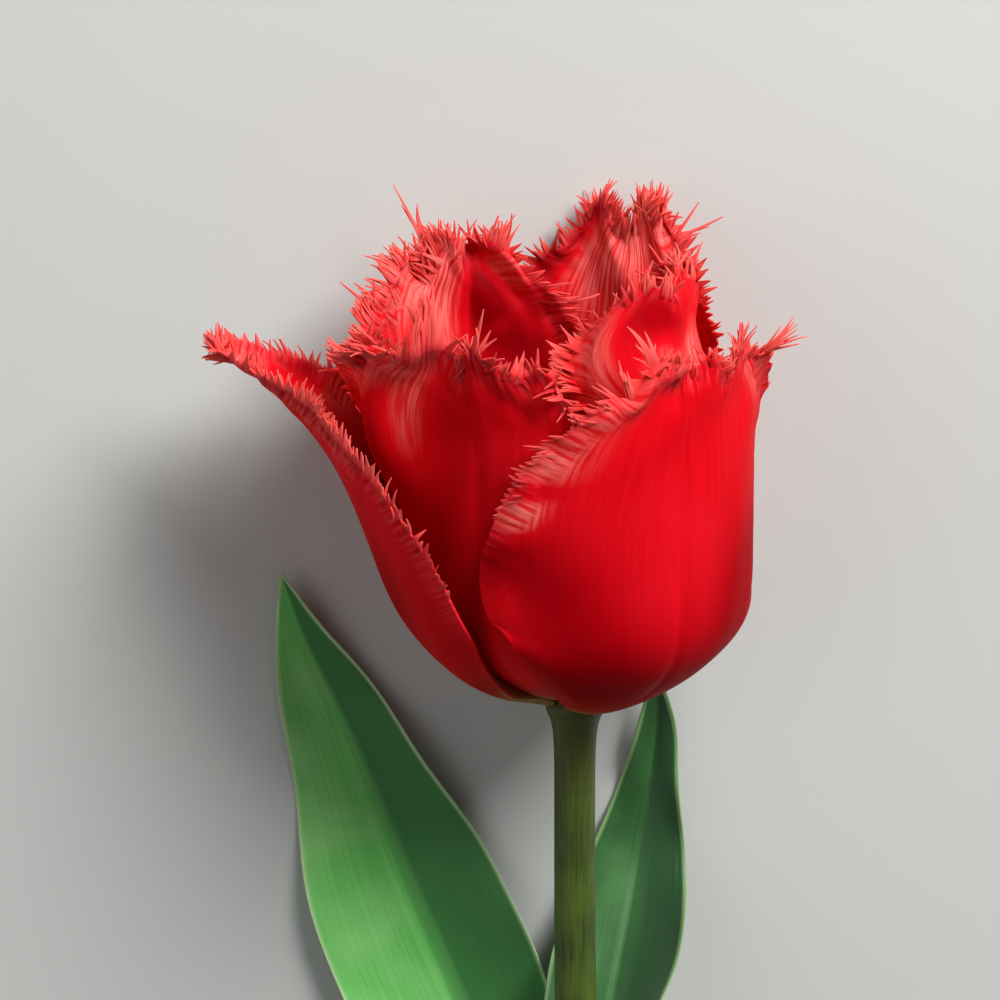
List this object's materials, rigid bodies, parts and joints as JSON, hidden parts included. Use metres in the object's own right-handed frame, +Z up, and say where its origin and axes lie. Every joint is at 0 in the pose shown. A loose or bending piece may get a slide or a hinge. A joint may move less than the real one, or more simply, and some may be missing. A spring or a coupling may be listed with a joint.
{
  "type": "fringed tulip",
  "caption": "Cut fringed tulip lying on its side: a cupped bloom of fringed petals round pistil and stamens, on a round stem with broad clasping leaves.",
  "frame": {"origin": "the small flat spot under the bloom where its lowest petal rests on the surface", "axes": "+Z up from the surface that the flower lies on, +Y along the stem towards the petal tips, +X to the right for someone who looks down on it with the bloom at the top"},
  "size_m": [0.0885, 0.3388, 0.0535],
  "materials": {
    "petal": "satin",
    "stem": "satin",
    "leaf": "matte",
    "pistil": "matte",
    "stamen": "matte"
  },
  "bodies": {
    "root": {"stem": "stem", "leaf_left": "leaf", "leaf_right": "leaf", "petal_outer_front": "petal", "petal_outer_left": "petal", "petal_outer_back": "petal", "petal_inner_front": "petal", "petal_inner_right": "petal", "petal_inner_back": "petal", "pistil": "pistil", "stamen_1": "stamen", "stamen_2": "stamen", "stamen_3": "stamen", "stamen_4": "stamen", "stamen_5": "stamen", "stamen_6": "stamen"}
  },
  "joints": []
}
